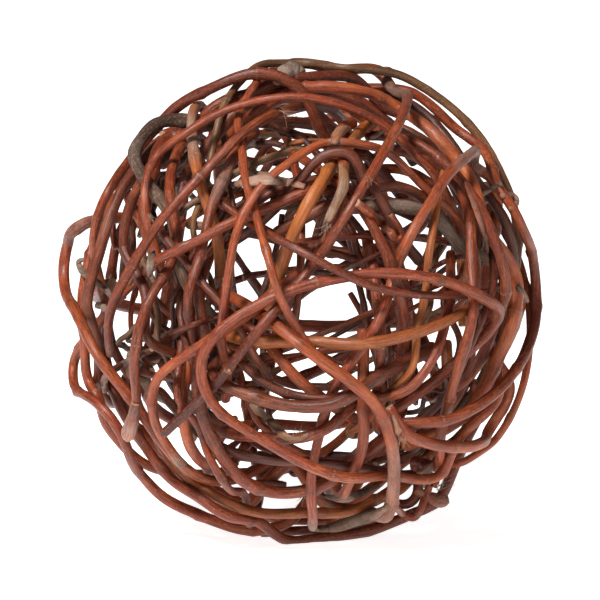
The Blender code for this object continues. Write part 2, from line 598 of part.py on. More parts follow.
def nudge_apart(places, radii, owner, first):
    """Moves twigs that are still too close a little way apart, whichever way they lie."""
    lows = -ball_radius + radii * math.cos(math.pi / twig_sides) - ground_press
    start = places
    a, b = near_pairs(places, owner, first)
    for _ in range(nudging_rounds):
        s, t, between, wide = clearances(places, radii, a, b)
        apart = np.sqrt(dots(between, between))
        push = between * (np.maximum(wide + twig_gap - apart, 0.0) / apart * nudging_share)[:, None]
        moved = np.zeros_like(places)
        np.add.at(moved, a, push * (1 - s)[:, None])
        np.add.at(moved, a + 1, push * s[:, None])
        np.add.at(moved, b, -push * (1 - t)[:, None])
        np.add.at(moved, b + 1, -push * t[:, None])
        drift = places + moved - start
        size = np.sqrt(dots(drift, drift))
        places = start + drift * (most_nudged / np.maximum(size, most_nudged))[:, None]
        places[:, 2] = np.maximum(places[:, 2], lows)
    return np.round(places, 9)


def thin_where_tight(places, radii, owner, first):
    """Thins two twigs a little where there is no room left between them."""
    a, b = near_pairs(places, owner, first)
    s, t, between, wide = clearances(places, radii, a, b)
    share = np.clip((np.sqrt(dots(between, between)) - twig_gap) / wide, thinnest_share, 1.0)
    shares = np.ones_like(radii)
    for ring in (a, a + 1, b, b + 1):
        np.minimum.at(shares, ring, share)
    return np.round(radii * shares, 9)


def weave(runs, radii_list, given_list):
    """Threads every twig over and under the others, then eases them apart where they touch."""
    places = np.concatenate(runs)
    radii = np.concatenate(radii_list)
    given = np.concatenate(given_list)
    owner = np.concatenate([np.full(len(run), i) for i, run in enumerate(runs)])
    first = np.nonzero(owner[1:] == owner[:-1])[0]
    inner = np.nonzero((owner[2:] == owner[1:-1]) & (owner[1:-1] == owner[:-2]))[0] + 1
    places = open_windows(places, radii, first, inner)
    places = thread_all(places, radii, given, owner, first)
    places = nudge_apart(places, radii, owner, first)
    radii = thin_where_tight(places, radii, owner, first)
    cuts = np.cumsum([len(run) for run in runs])[:-1]
    return np.split(places, cuts), np.split(radii, cuts)


def frame_at(centres, i, radius):
    """Where ring i of a twig lies: its own Z along the twig and its X out of the ball."""
    before = centres[max(i - 1, 0)]
    after = centres[min(i + 1, len(centres) - 1)]
    along = unit(after - before)
    side = unit(cross(along, centres[i]))
    out = cross(side, along)
    matrix = Matrix.Identity(4)
    for row in range(3):
        matrix[row][0] = out[row] * radius
        matrix[row][1] = side[row] * radius
        matrix[row][2] = along[row] * radius
        matrix[row][3] = centres[i][row]
    return matrix


def make_twig(name, bark, centres, radii):
    """A tapered rod: a circle pushed from ring to ring, closed at both ends."""
    mesh = bpy.data.meshes.new(name)
    bm = bmesh.new()
    half_side = Matrix.Rotation(math.pi / twig_sides, 4, "Z")
    here = frame_at(centres, 0, radii[0]) @ half_side
    ring = bmesh.ops.create_circle(bm, segments=twig_sides, radius=1.0, matrix=here, cap_ends=False)
    edges = list({edge for vert in ring["verts"] for edge in vert.link_edges})
    for i in range(1, len(centres)):
        there = frame_at(centres, i, radii[i]) @ half_side
        pushed = bmesh.ops.extrude_edge_only(bm, edges=edges)["geom"]
        verts = [piece for piece in pushed if isinstance(piece, bmesh.types.BMVert)]
        edges = [piece for piece in pushed if isinstance(piece, bmesh.types.BMEdge)]
        edges = [edge for edge in edges if all(vert in verts for vert in edge.verts)]
        bmesh.ops.transform(bm, matrix=there @ here.inverted(), verts=verts)
        here = there
    bmesh.ops.holes_fill(bm, edges=bm.edges, sides=twig_sides)
    for vert in bm.verts:
        vert.co.z = max(vert.co.z, -ball_radius)
    bmesh.ops.recalc_face_normals(bm, faces=bm.faces)
    bm.to_mesh(mesh)
    bm.free()
    mesh.shade_smooth()
    mesh.set_sharp_from_angle(angle=math.radians(70))
    mesh.materials.append(bark)
    twig = bpy.data.objects.new(name, mesh)
    bpy.context.scene.collection.objects.link(twig)
    return twig


def make_bark(name):
    colour, roughness = bark_finish[name]
    bark = bpy.data.materials.new(name)
    bark.use_nodes = True
    shader = bark.node_tree.nodes["Principled BSDF"]
    shader.inputs["Base Color"].default_value = (*colour, 1.0)
    shader.inputs["Roughness"].default_value = roughness
    shader.inputs["Metallic"].default_value = 0.0
    bark.diffuse_color = (*colour, 1.0)
    return bark


def stand_on_ground(twigs):
    """Puts the origin under the middle of the ball, on the ground."""
    corners = [vert.co for twig in twigs for vert in twig.data.vertices]
    shift = Vector((0.0, 0.0, ball_radius))
    for axis in (0, 1):
        values = [corner[axis] for corner in corners]
        shift[axis] = -(min(values) + max(values)) / 2
    for twig in twigs:
        twig.data.transform(Matrix.Translation(shift))


def clear_scene():
    for thing in list(bpy.data.objects):
        bpy.data.objects.remove(thing)


def main():
    clear_scene()
    chance = random.Random(seed)
    names, barks, runs, radii, given = [], [], [], [], []
    for name, bark, thickness, before, after, points in front_twigs:
        names.append("twig_" + name)
        barks.append(bark)
        centres, known = ring_centres(*front_run(thickness, before, after, points, chance))
        runs.append(centres)
        given.append(known)
        radii.append(twig_radii(centres, thickness, chance.random() < 0.5))
    for name, thickness, facing, slope, length, layer in back_twigs:
        names.append("twig_" + name)
        barks.append("red_bark")
        run = back_run(thickness, facing, slope, length, layer, chance)
        centres, known = ring_centres(run, [0.0] * len(run))
        runs.append(centres)
        given.append(known)
        radii.append(twig_radii(centres, thickness, chance.random() < 0.5))
    runs, radii = weave(runs, radii, given)
    materials = {name: make_bark(name) for name in bark_finish}
    twigs = []
    for name, bark, centres, thickness in zip(names, barks, runs, radii):
        twigs.append(make_twig(name, materials[bark], centres, thickness))
    stand_on_ground(twigs)


main()
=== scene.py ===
# Willow twig ball: the look of its bark, and the bits too small for solids
import json
import math
import random

import bmesh
import bpy
import numpy as np
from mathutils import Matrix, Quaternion, Vector
from mathutils.kdtree import KDTree


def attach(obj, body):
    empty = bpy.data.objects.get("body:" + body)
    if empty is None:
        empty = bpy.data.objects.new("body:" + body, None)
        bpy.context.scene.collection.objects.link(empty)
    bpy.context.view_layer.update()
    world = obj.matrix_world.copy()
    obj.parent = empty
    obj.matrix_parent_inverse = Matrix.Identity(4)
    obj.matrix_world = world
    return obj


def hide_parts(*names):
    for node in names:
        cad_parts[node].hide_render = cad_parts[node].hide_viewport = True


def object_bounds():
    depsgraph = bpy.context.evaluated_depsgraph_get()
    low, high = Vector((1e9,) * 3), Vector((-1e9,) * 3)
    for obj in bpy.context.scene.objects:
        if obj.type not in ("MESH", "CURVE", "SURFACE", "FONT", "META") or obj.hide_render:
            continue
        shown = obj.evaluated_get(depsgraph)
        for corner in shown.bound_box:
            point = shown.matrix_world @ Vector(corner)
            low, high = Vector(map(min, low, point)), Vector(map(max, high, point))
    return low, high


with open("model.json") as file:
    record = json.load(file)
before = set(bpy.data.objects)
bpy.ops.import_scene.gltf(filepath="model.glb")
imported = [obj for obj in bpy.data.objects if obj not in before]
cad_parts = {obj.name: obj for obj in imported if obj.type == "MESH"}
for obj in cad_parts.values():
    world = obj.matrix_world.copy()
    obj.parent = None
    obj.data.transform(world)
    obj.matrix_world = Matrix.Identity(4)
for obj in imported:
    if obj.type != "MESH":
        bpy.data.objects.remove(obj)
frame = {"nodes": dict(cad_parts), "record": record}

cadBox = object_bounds()
chance = random.Random(11)

# The photograph's view. Places seen from the front are in hundredths of the ball's radius.
view = {"tilt": math.radians(10), "distance": 4.0, "width": 0.250, "drop": 0.8, "radius": 0.100,
        "sensor": 36.0, "clipEnd": 100.0}
unitLength = view["radius"] / 100
toRight = np.array([1.0, 0.0, 0.0])
toViewer = np.array([0.0, -math.cos(view["tilt"]), math.sin(view["tilt"])])
toTop = np.array([0.0, math.sin(view["tilt"]), math.cos(view["tilt"])])
ballMiddle = np.array([
    (cadBox[0][0] + cadBox[1][0]) / 2,
    (cadBox[0][1] + cadBox[1][1]) / 2,
    cadBox[0][2] + view["radius"],
])


def seenAt(points):
    # where points show from the front: across, up, and toward the viewer in metres
    off = points - ballMiddle
    return off @ toRight / unitLength, off @ toTop / unitLength, off @ toViewer


def smoothLine(points, step):
    # evenly spaced points on the natural cubic spline through the given ones
    points = np.array(points, dtype=float)
    spans = np.linalg.norm(points[1:] - points[:-1], axis=1)
    marks = np.concatenate([[0.0], np.cumsum(spans)])
    slopes = (points[1:] - points[:-1]) / spans[:, None]
    system = np.eye(len(points))
    known = np.zeros_like(points)
    for i in range(1, len(points) - 1):
        system[i, i - 1:i + 2] = (spans[i - 1], 2 * (spans[i - 1] + spans[i]), spans[i])
        known[i] = 6 * (slopes[i] - slopes[i - 1])
    bends = np.linalg.solve(system, known)
    at = np.linspace(0.0, marks[-1], max(3, math.ceil(marks[-1] / step) + 1))
    first = np.clip(np.searchsorted(marks, at, side="right") - 1, 0, len(points) - 2)
    after = ((at - marks[first]) / spans[first])[:, None]
    before = 1 - after
    bulge = (before ** 3 - before) * bends[first] + (after ** 3 - after) * bends[first + 1]
    bulge = bulge * spans[first][:, None] ** 2 / 6
    return before * points[first] + after * points[first + 1] + bulge


def lengthAlong(line):
    steps = np.linalg.norm(line[1:] - line[:-1], axis=1)
    return np.concatenate([[0.0], np.cumsum(steps)])


def softNoise(count, spacing, reach):
    # a smooth random line from -1 to 1, with a new value every "reach" metres
    values = np.array([chance.uniform(-1, 1) for _ in range(int(count * spacing / reach) + 4)])
    place = np.arange(count) * spacing / reach
    low = place.astype(int)
    t = place - low
    t = t * t * (3 - 2 * t)
    return values[low] * (1 - t) + values[low + 1] * t


# How the rings of a twig's solid are told apart: "flat" is the least dot product within an end
solid = {"sides": 5, "merge": 0.00002, "flat": 0.9}


def ringsFrom(start):
    # the rings of vertices one after another, from the given ones to the far end
    rings = [set(start)]
    seen = set(start)
    while True:
        level = {edge.other_vert(vert) for vert in rings[-1] for edge in vert.link_edges} - seen
        if not level:
            return rings
        rings.append(level)
        seen |= level


def ringsFromEnd(vert):
    # the rings from the flat end that a vertex lies on, or None if it lies on no end
    found = None
    for face in vert.link_faces:
        group = [face]
        for other in group:
            for edge in other.edges:
                for near in edge.link_faces:
                    if near not in group and near.normal.dot(face.normal) > solid["flat"]:
                        group.append(near)
        corners = {corner for other in group for corner in other.verts}
        if len(group) == solid["sides"] - 2 and len(corners) == solid["sides"]:
            rings = ringsFrom(corners)
            if all(len(ring) == solid["sides"] for ring in rings):
                found = rings
    return found


def centreLine(node):
    # the middle and the radius of each ring of a twig's solid, from one end to the other
    bm = bmesh.new()
    bm.from_mesh(node.data)
    bmesh.ops.remove_doubles(bm, verts=bm.verts, dist=solid["merge"])
    far = list(ringsFrom([bm.verts[:][0]])[-1])
    nextToFar = [edge.other_vert(vert) for vert in far for edge in vert.link_edges]
    rings = next(filter(None, map(ringsFromEnd, far + nextToFar)))
    middles = []
    radii = []
    for ring in rings:
        spots = np.array([vert.co[:] for vert in ring])
        middles.append(spots.mean(axis=0))
        radii.append(np.linalg.norm(spots - middles[-1], axis=1).max())
    bm.free()
    return middles, radii


def tubeMesh(name, lines, radii, resolution):
    curve = bpy.data.curves.new(name, "CURVE")
    curve.dimensions = "3D"
    curve.bevel_mode = "ROUND"
    curve.bevel_depth = 1.0
    curve.bevel_resolution = resolution
    curve.twist_mode = "MINIMUM"
    for line, wide in zip(lines, radii):
        spline = curve.splines.new("POLY")
        spline.points.add(len(line) - 1)
        spline.points.foreach_set("co", np.c_[line, np.ones(len(line))].ravel())
        spline.points.foreach_set("radius", np.asarray(wide, dtype=float))
    holder = bpy.data.objects.new(name, curve)
    bpy.context.scene.collection.objects.link(holder)
    bpy.context.view_layer.update()
    graph = bpy.context.evaluated_depsgraph_get()
    mesh = bpy.data.meshes.new_from_object(holder.evaluated_get(graph))
    bpy.data.objects.remove(holder)
    bpy.data.curves.remove(curve)
    mesh.name = name
    return mesh


def readSpots(mesh):
    spots = np.zeros(len(mesh.vertices) * 3)
    mesh.vertices.foreach_get("co", spots)
    return spots.reshape(-1, 3)


def writeSpots(mesh, spots):
    # moves the vertices, none of them below the ground
    spots[..., 2] = np.maximum(spots[..., 2], cadBox[0][2])
    mesh.vertices.foreach_set("co", spots.ravel())


def giveBark(mesh, slot, grain, tone, knot, grey):
    # the bark, and the attributes that it reads
    layer = mesh.attributes.new("grain", "FLOAT_VECTOR", "POINT")
    layer.data.foreach_set("vector", grain.ravel())
    for label, values in (("tone", tone), ("knot", knot), ("grey", grey)):
        layer = mesh.attributes.new(label, "FLOAT", "POINT")
        layer.data.foreach_set("value", values)
    mesh.shade_smooth()
    mesh.materials.clear()
    mesh.materials.append(barkMaterials[slot])


def addPiece(name, mesh):
    piece = bpy.data.objects.new(name, mesh)
    bpy.context.scene.collection.objects.link(piece)
    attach(piece, "root")
    return piece


# How a twig's section departs from a circle: amounts in radii, turns in radians, reach in metres
section = {"spacing": 0.0016, "oval": 0.05, "ovalTurn": 6, "ovalReach": 0.05,
           "lumps": 0.030, "lumpTurn": 9, "lumpReach": 0.02, "buds": 0.30, "budTurn": 60}


def finishTwig(name, line, radii, resolution, slot, tone, knots, grey, flatness=1.0):
    # a twig with an uneven section, filled ends and its bark; "flatness" presses it on the ball
    mesh = tubeMesh(name, [line], [radii], resolution)
    sides = len(mesh.vertices) // len(line)
    spots = readSpots(mesh).reshape(len(line), sides, 3)
    turn = np.arange(sides) / sides * 2 * math.pi
    along = lengthAlong(line)
    start = chance.uniform(0, 10)
    ovalNoise = softNoise(len(line), section["spacing"], section["ovalReach"])[:, None]
    lumpNoise = softNoise(len(line), section["spacing"], section["lumpReach"])[:, None]
    budTurn = (along * section["budTurn"] + start)[:, None]
    oval = section["oval"] * np.cos(2 * turn + section["ovalTurn"] * ovalNoise)
    lumps = section["lumps"] * np.cos(3 * turn + section["lumpTurn"] * lumpNoise)
    buds = section["buds"] * np.sqrt(knots)[:, None] * np.maximum(np.cos(turn - budTurn), 0)
    out = (spots - line[:, None, :]) * (1 + oval + lumps + buds)[:, :, None]
    away = line - ballMiddle
    away /= np.linalg.norm(away, axis=1)[:, None]
    height = (out * away[:, None, :]).sum(axis=2)[:, :, None]
    writeSpots(mesh, line[:, None, :] + out - height * away[:, None, :] * (1 - flatness))
    grain = np.zeros((len(line), sides, 3))
    grain[:, :, 0] = np.cos(turn) * radii[:, None]
    grain[:, :, 1] = np.sin(turn) * radii[:, None]
    grain[:, :, 2] = along[:, None] + start
    giveBark(mesh, slot, grain, *(np.repeat(values, sides) for values in (tone, knots, grey)))
    mesh.materials.append(cutWood)
    bm = bmesh.new()
    bm.from_mesh(mesh)
    for face in bmesh.ops.holes_fill(bm, edges=bm.edges, sides=sides)["faces"]:
        face.material_index = 1
        face.smooth = False
    bmesh.ops.recalc_face_normals(bm, faces=bm.faces)
    bm.to_mesh(mesh)
    bm.free()
    return addPiece(name, mesh)


# Bark materials

def linkedGroup(name, inputs, outputs):
    group = bpy.data.node_groups.new(name, "ShaderNodeTree")
    for label, kind in inputs:
        group.interface.new_socket(name=label, in_out="INPUT", socket_type=kind)
    for label, kind in outputs:
        group.interface.new_socket(name=label, in_out="OUTPUT", socket_type=kind)
    return group, group.nodes.new("NodeGroupInput"), group.nodes.new("NodeGroupOutput")


def attribute(tree, name):
    node = tree.nodes.new("ShaderNodeAttribute")
    node.attribute_name = name
    return node.outputs["Vector" if name == "grain" else "Fac"]


def stretched(tree, vector, around, along, scale):
    # noise on the twig's own grain, drawn out along it
    mapping = tree.nodes.new("ShaderNodeMapping")
    mapping.inputs["Scale"].default_value = (around, around, along)
    noise = tree.nodes.new("ShaderNodeTexNoise")
    noise.inputs["Scale"].default_value = scale
    noise.inputs["Detail"].default_value = 4.0
    noise.inputs["Roughness"].default_value = 0.6
    tree.links.new(vector, mapping.inputs["Vector"])
    tree.links.new(mapping.outputs["Vector"], noise.inputs["Vector"])
    return noise.outputs["Fac"]


def mapped(tree, value, low, high, toLow, toHigh):
    node = tree.nodes.new("ShaderNodeMapRange")
    node.inputs["From Min"].default_value = low
    node.inputs["From Max"].default_value = high
    node.inputs["To Min"].default_value = toLow
    node.inputs["To Max"].default_value = toHigh
    tree.links.new(value, node.inputs["Value"])
    return node.outputs["Result"]


def maths(tree, operation, a, b):
    node = tree.nodes.new("ShaderNodeMath")
    node.operation = operation
    for socket, value in zip(node.inputs, (a, b)):
        if isinstance(value, (int, float)):
            socket.default_value = value
        else:
            tree.links.new(value, socket)
    return node.outputs["Value"]


def blended(tree, amount, first, second):
    # a colour between two others, each of them fixed or linked
    node = tree.nodes.new("ShaderNodeMix")
    node.data_type = "RGBA"
    sockets = [socket for socket in node.inputs if socket.type == "RGBA"]
    for socket, value in zip(sockets, (first, second)):
        if isinstance(value, tuple):
            socket.default_value = (*value, 1.0)
        else:
            tree.links.new(value, socket)
    tree.links.new(amount, node.inputs["Factor"])
    return next(socket for socket in node.outputs if socket.type == "RGBA")


grainLook = {
    # each noise: its scale around the twig, its scale along it, its fineness
    "noises": {
        "streaks": (1.0, 0.09, 1400.0), "fine": (1.0, 0.10, 2600.0), "blotches": (0.5, 0.25, 160.0),
        "cracks": (1.0, 0.035, 1500.0), "rings": (0.10, 1.0, 420.0), "warmth": (0.4, 0.15, 90.0),
        "speckle": (1.0, 0.45, 1700.0),
    },
    # the values between which each mask rises from none to full
    "masks": {
        "streaks": (0.30, 0.62), "blotches": (0.38, 0.66), "cracks": (0.58, 0.68),
        "rings": (0.60, 0.72), "warmth": (0.46, 0.62), "speckle": (0.44, 0.62),
    },
    "dotScale": 620.0, "dotLength": 0.7, "dotSize": (0.10, 0.24), "dotPatches": (0.40, 0.55),
    "heights": {"streaks": 0.7, "fine": 0.4, "rings": 0.25, "cracks": -0.35, "dots": 0.20},
}


def makeGrainGroup(look):
    # masks that every bark shares, and the height of its surface
    names = ("Streaks", "Blotches", "Dots", "Cracks", "Rings", "Warmth", "Speckle", "Height")
    group, source, result = linkedGroup(
        "twigGrain", [("Grain", "NodeSocketVector")], [(name, "NodeSocketFloat") for name in names])
    grain = source.outputs["Grain"]
    noises = {name: stretched(group, grain, *shape) for name, shape in look["noises"].items()}
    masks = {}
    for name, ends in look["masks"].items():
        masks[name] = mapped(group, noises[name], *ends, 0.0, 1.0)
    mapping = group.nodes.new("ShaderNodeMapping")
    mapping.inputs["Scale"].default_value = (1.0, 1.0, look["dotLength"])
    dots = group.nodes.new("ShaderNodeTexVoronoi")
    dots.inputs["Scale"].default_value = look["dotScale"]
    group.links.new(grain, mapping.inputs["Vector"])
    group.links.new(mapping.outputs["Vector"], dots.inputs["Vector"])
    inPatches = mapped(group, noises["blotches"], *look["dotPatches"], 0.0, 1.0)
    inDots = mapped(group, dots.outputs["Distance"], *look["dotSize"], 1.0, 0.0)
    masks["dots"] = maths(group, "MULTIPLY", inDots, inPatches)
    heights = {**masks, "streaks": noises["streaks"], "fine": noises["fine"]}
    height = 0.0
    for name, weight in look["heights"].items():
        height = maths(group, "ADD", height, maths(group, "MULTIPLY", heights[name], weight))
    masks["height"] = height
    for name in names:
        group.links.new(masks[name.lower()], result.inputs[name])
    return group


barks = {
    "red_bark": {
        "dark": (0.040, 0.007, 0.003), "mid": (0.240, 0.036, 0.012), "worn": (0.375, 0.086, 0.022),
        "warm": (0.325, 0.066, 0.015), "pale": (0.440, 0.155, 0.072), "knot": (0.030, 0.009, 0.005),
        "gloss": 0.33, "rough": 0.52, "bump": 0.50, "dots": 0.60,
    },
    "dark_bark": {
        "dark": (0.014, 0.004, 0.002), "mid": (0.122, 0.021, 0.009), "worn": (0.275, 0.066, 0.022),
        "warm": (0.200, 0.042, 0.012), "pale": (0.250, 0.092, 0.048), "knot": (0.014, 0.006, 0.004),
        "gloss": 0.36, "rough": 0.56, "bump": 0.50, "dots": 0.55,
    },
    "tan_bark": {
        "dark": (0.120, 0.026, 0.007), "mid": (0.320, 0.082, 0.018), "worn": (0.420, 0.140, 0.030),
        "warm": (0.400, 0.095, 0.014), "pale": (0.440, 0.200, 0.080), "knot": (0.060, 0.018, 0.009),
        "gloss": 0.38, "rough": 0.56, "bump": 0.40, "dots": 0.15,
    },
    "grey_bark": {
        "dark": (0.046, 0.022, 0.014), "mid": (0.210, 0.112, 0.070), "worn": (0.350, 0.220, 0.150),
        "warm": (0.240, 0.105, 0.050), "pale": (0.420, 0.310, 0.235), "knot": (0.036, 0.020, 0.014),
        "gloss": 0.75, "rough": 0.92, "bump": 1.00, "dots": 0.08,
    },
    "olive_bark": {
        "dark": (0.052, 0.023, 0.010), "mid": (0.200, 0.084, 0.034), "worn": (0.315, 0.165, 0.075),
        "warm": (0.240, 0.080, 0.024), "pale": (0.350, 0.210, 0.120), "knot": (0.038, 0.018, 0.009),
        "gloss": 0.36, "rough": 0.54, "bump": 0.40, "dots": 0.30,
    },
}
# What all the barks share: how strong each mask is, and the colours of weathered stretches
anyBark = {
    "warmth": 0.6, "paleFrom": 0.45, "pale": 0.45, "speckle": 0.18, "cracks": 0.55, "rings": 0.30,
    "knot": 0.75, "scar": 0.8, "scarFrom": (0.35, 0.60), "darkness": -0.8, "darkSpeckle": 0.5,
    "greyDark": (0.050, 0.026, 0.018), "greyMid": (0.240, 0.145, 0.108),
    "greyPale": (0.390, 0.285, 0.228), "greyRoughness": 0.3, "greyHeight": 0.8,
    "specular": 0.32, "bumpDistance": 0.0005,
}


def makeBark(name, look, shared, grainGroup):
    bark = bpy.data.materials.new(name)
    bark.use_nodes = True
    tree = bark.node_tree
    shader = tree.nodes["Principled BSDF"]
    tone, knot, grey = (attribute(tree, label) for label in ("tone", "knot", "grey"))
    group = tree.nodes.new("ShaderNodeGroup")
    group.node_tree = grainGroup
    tree.links.new(attribute(tree, "grain"), group.inputs["Grain"])
    masks = group.outputs

    def product(a, b):
        return maths(tree, "MULTIPLY", a, b)

    def part(label, amount):
        return product(masks[label], amount)

    # sound bark: warm patches, dark streaks, worn and pale places, dots and speckle
    colour = blended(tree, part("Warmth", shared["warmth"]), look["mid"], look["warm"])
    colour = blended(tree, masks["Streaks"], look["dark"], colour)
    worn = part("Blotches", maths(tree, "MAXIMUM", tone, 0.0))
    colour = blended(tree, worn, colour, look["worn"])
    pale = part("Streaks", masks["Blotches"])
    pale = mapped(tree, pale, shared["paleFrom"], 1.0, 0.0, shared["pale"])
    colour = blended(tree, pale, colour, look["pale"])
    colour = blended(tree, part("Dots", look["dots"]), colour, look["pale"])
    colour = blended(tree, part("Speckle", shared["speckle"]), colour, look["pale"])
    # weathered stretches, then darkened ones
    weathered = blended(tree, masks["Speckle"], shared["greyDark"], shared["greyMid"])
    weathered = blended(tree, masks["Blotches"], weathered, shared["greyPale"])
    colour = blended(tree, grey, colour, weathered)
    darkness = maths(tree, "MAXIMUM", product(tone, shared["darkness"]), 0.0)
    broken = mapped(tree, masks["Speckle"], 0.0, 1.0, 1.0, shared["darkSpeckle"])
    colour = blended(tree, product(darkness, broken), colour, look["dark"])
    # cracks, rings, and knots with pale scars on them
    colour = blended(tree, part("Cracks", shared["cracks"]), colour, look["knot"])
    colour = blended(tree, part("Rings", shared["rings"]), colour, look["dark"])
    colour = blended(tree, product(knot, shared["knot"]), colour, look["knot"])
    scarred = part("Speckle", mapped(tree, knot, *shared["scarFrom"], 0.0, shared["scar"]))
    colour = blended(tree, scarred, colour, look["pale"])
    tree.links.new(colour, shader.inputs["Base Color"])

    roughness = mapped(tree, masks["Speckle"], 0.0, 1.0, look["gloss"], look["rough"])
    roughness = maths(tree, "ADD", roughness, product(grey, shared["greyRoughness"]))
    tree.links.new(roughness, shader.inputs["Roughness"])
    shader.inputs["Specular IOR Level"].default_value = shared["specular"]
    bump = tree.nodes.new("ShaderNodeBump")
    bump.inputs["Strength"].default_value = look["bump"]
    bump.inputs["Distance"].default_value = shared["bumpDistance"]
    coarse = part("Speckle", product(grey, shared["greyHeight"]))
    tree.links.new(maths(tree, "ADD", masks["Height"], coarse), bump.inputs["Height"])
    tree.links.new(bump.outputs["Normal"], shader.inputs["Normal"])
    return bark


cutWoodLook = {"pale": (0.400, 0.250, 0.150), "dark": (0.190, 0.095, 0.055),
               "rough": 0.8, "scale": 1400.0}


def makeCutWood(look):
    wood = bpy.data.materials.new("cut_wood")
    wood.use_nodes = True
    tree = wood.node_tree
    shader = tree.nodes["Principled BSDF"]
    place = tree.nodes.new("ShaderNodeTexCoord")
    noise = tree.nodes.new("ShaderNodeTexNoise")
    noise.inputs["Scale"].default_value = look["scale"]
    tree.links.new(place.outputs["Object"], noise.inputs["Vector"])
    colour = blended(tree, noise.outputs["Fac"], look["dark"], look["pale"])
    tree.links.new(colour, shader.inputs["Base Color"])
    shader.inputs["Roughness"].default_value = look["rough"]
    return wood


grainGroup = makeGrainGroup(grainLook)
barkMaterials = {name: makeBark(name, look, anyBark, grainGroup) for name, look in barks.items()}
cutWood = makeCutWood(cutWoodLook)
print("bark materials made")

# The twigs that have solids

twigLook = {
    "step": 0.0016, "resolution": 5, "ends": 0.9, "uneven": 0.03, "unevenReach": 0.012,
    "wave": 0.00025, "waveReach": 0.018, "waveEase": 0.01,
    "firstKnot": 0.01, "lastKnot": 0.006, "knotEvery": (0.024, 0.060), "knotSize": (0.4, 1.0),
    "knotWidth": 0.0022, "knotSwell": 0.15, "knotDark": 0.7, "knotDarkWidth": 0.5,
    "tone": (-0.7, 0.6), "toneSwing": 0.5, "toneReach": 0.06, "greyRough": 0.10, "greyReach": 0.004,
}


def knotPlaces(length, look):
    places = []
    place = chance.uniform(look["firstKnot"], look["knotEvery"][1])
    while place < length - look["lastKnot"]:
        places.append((place, chance.uniform(*look["knotSize"])))
        place += chance.uniform(*look["knotEvery"])
    return places


def addKnots(wide, along, look):
    # small swellings with a dark middle, on a twig of slightly uneven width
    knots = np.zeros(len(wide))
    for place, size in knotPlaces(along[-1], look):
        off = along - place
        wide = wide * (1 + look["knotSwell"] * size * np.exp(-(off / look["knotWidth"]) ** 2))
        dark = np.exp(-(off / (look["knotWidth"] * look["knotDarkWidth"])) ** 2)
        knots = np.maximum(knots, size * look["knotDark"] * dark)
    wide = wide * (1 + look["uneven"] * softNoise(len(wide), look["step"], look["unevenReach"]))
    wide[0] *= look["ends"]
    wide[-1] *= look["ends"]
    return wide, knots


def spotted(line, spots):
    # how strong the spots (across, up, reach, amount) are along a twig, as seen from the front
    across, up, toward = seenAt(line)
    strength = np.zeros(len(line))
    for spotAcross, spotUp, reach, amount in spots:
        off = ((across - spotAcross) ** 2 + (up - spotUp) ** 2) / reach ** 2
        strength = np.maximum(strength, np.where(toward > 0, amount * np.exp(-off ** 2), 0.0))
    return strength


def dressTwig(node, slot, look):
    middles, radii = centreLine(node)
    line = smoothLine(middles, look["step"])
    along = lengthAlong(line)
    ringAt = lengthAlong(np.array(middles))
    wide = np.interp(along / along[-1], ringAt / ringAt[-1], radii)
    ways = np.gradient(line, axis=0)
    ways /= np.linalg.norm(ways, axis=1)[:, None]
    outward = line - ballMiddle
    outward /= np.linalg.norm(outward, axis=1)[:, None]
    side = np.cross(ways, outward)
    ease = np.minimum(1.0, np.minimum(along, along[-1] - along) / look["waveEase"])[:, None]
    wave = softNoise(len(line), look["step"], look["waveReach"])[:, None]
    line = line + side * wave * ease * look["wave"]
    wide, knots = addKnots(wide, along, look)
    grey = spotted(line, greySpots.get(node.name, []))
    rough = softNoise(len(line), look["step"], look["greyReach"])
    wide = wide * (1 + look["greyRough"] * grey * rough)
    tone = chance.uniform(*look["tone"])
    tone = tone + look["toneSwing"] * softNoise(len(line), look["step"], look["toneReach"])
    tone = tone - spotted(line, darkSpots.get(node.name, []))
    name = node.name.replace("twig_", "bark_")
    piece = finishTwig(name, line, wide, look["resolution"], slot, tone, knots, grey)
    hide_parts(node.name)
    laidTwigs.append((line, wide))


# Weathered and darkened stretches: (across, up, reach, amount)
greySpots = {
    "twig_bent_diagonal": [(-56, -52, 8, 0.25), (-46, -42, 9, 0.15), (34, 93, 12, 0.6),
                           (41, 87, 9, 0.5)],
    "twig_grey_elbow": [(-57, 71, 9, 0.7), (-67, 62, 10, 0.9), (-66, 48, 9, 0.6)],
    "twig_grey_crossbar": [(38, 36, 10, 0.7), (55, 34, 12, 0.8)],
    "twig_left_upright": [(-69, -53, 6, 0.6)],
    "twig_right_elbow": [(79, 56, 9, 0.7), (70, 60, 9, 0.6), (5, -95, 4, 0.8)],
    "twig_left_loop": [(-92, 29, 9, 0.5)],
    "twig_grey_tipped_hook": [(-49, -69, 6, 0.7)],
    "twig_stout_lower_right": [(36, -72, 12, 0.45), (31, -88, 12, 0.5), (18, -94, 14, 0.5)],
    "twig_left_diagonal": [(-78, -22, 4, 0.5)],
    "twig_pale_upper_left": [(-45, 66, 10, 0.7)],
    "twig_steep_left_inner": [(-34, 48, 10, 0.5)],
    "twig_crossing_arch": [(14, 64, 3, 0.6)],
    "twig_lower_right_hook": [(90, -46, 7, 0.4)],
}
darkSpots = {
    "twig_bent_diagonal": [(-52, -48, 14, 0.9), (-36, -34, 11, 0.9), (-25, -23, 8, 0.6)],
    "twig_grey_elbow": [(-58, 70, 10, 0.9), (-66, 52, 9, 0.5)],
    "twig_orange_crossbar": [(20, -14, 60, 0.5)],
    "twig_stout_lower_right": [(34, -76, 16, 0.3)],
}
laidTwigs = []
slots = {part["node"]: part["material_slot"] for part in frame["record"]["subparts"]}
for nodeName in sorted(frame["nodes"]):
    dressTwig(frame["nodes"][nodeName], slots[nodeName], twigLook)
print("twigs dressed", len(frame["nodes"]))

# Thinner twigs deeper in the wall, laid where the ball is too open

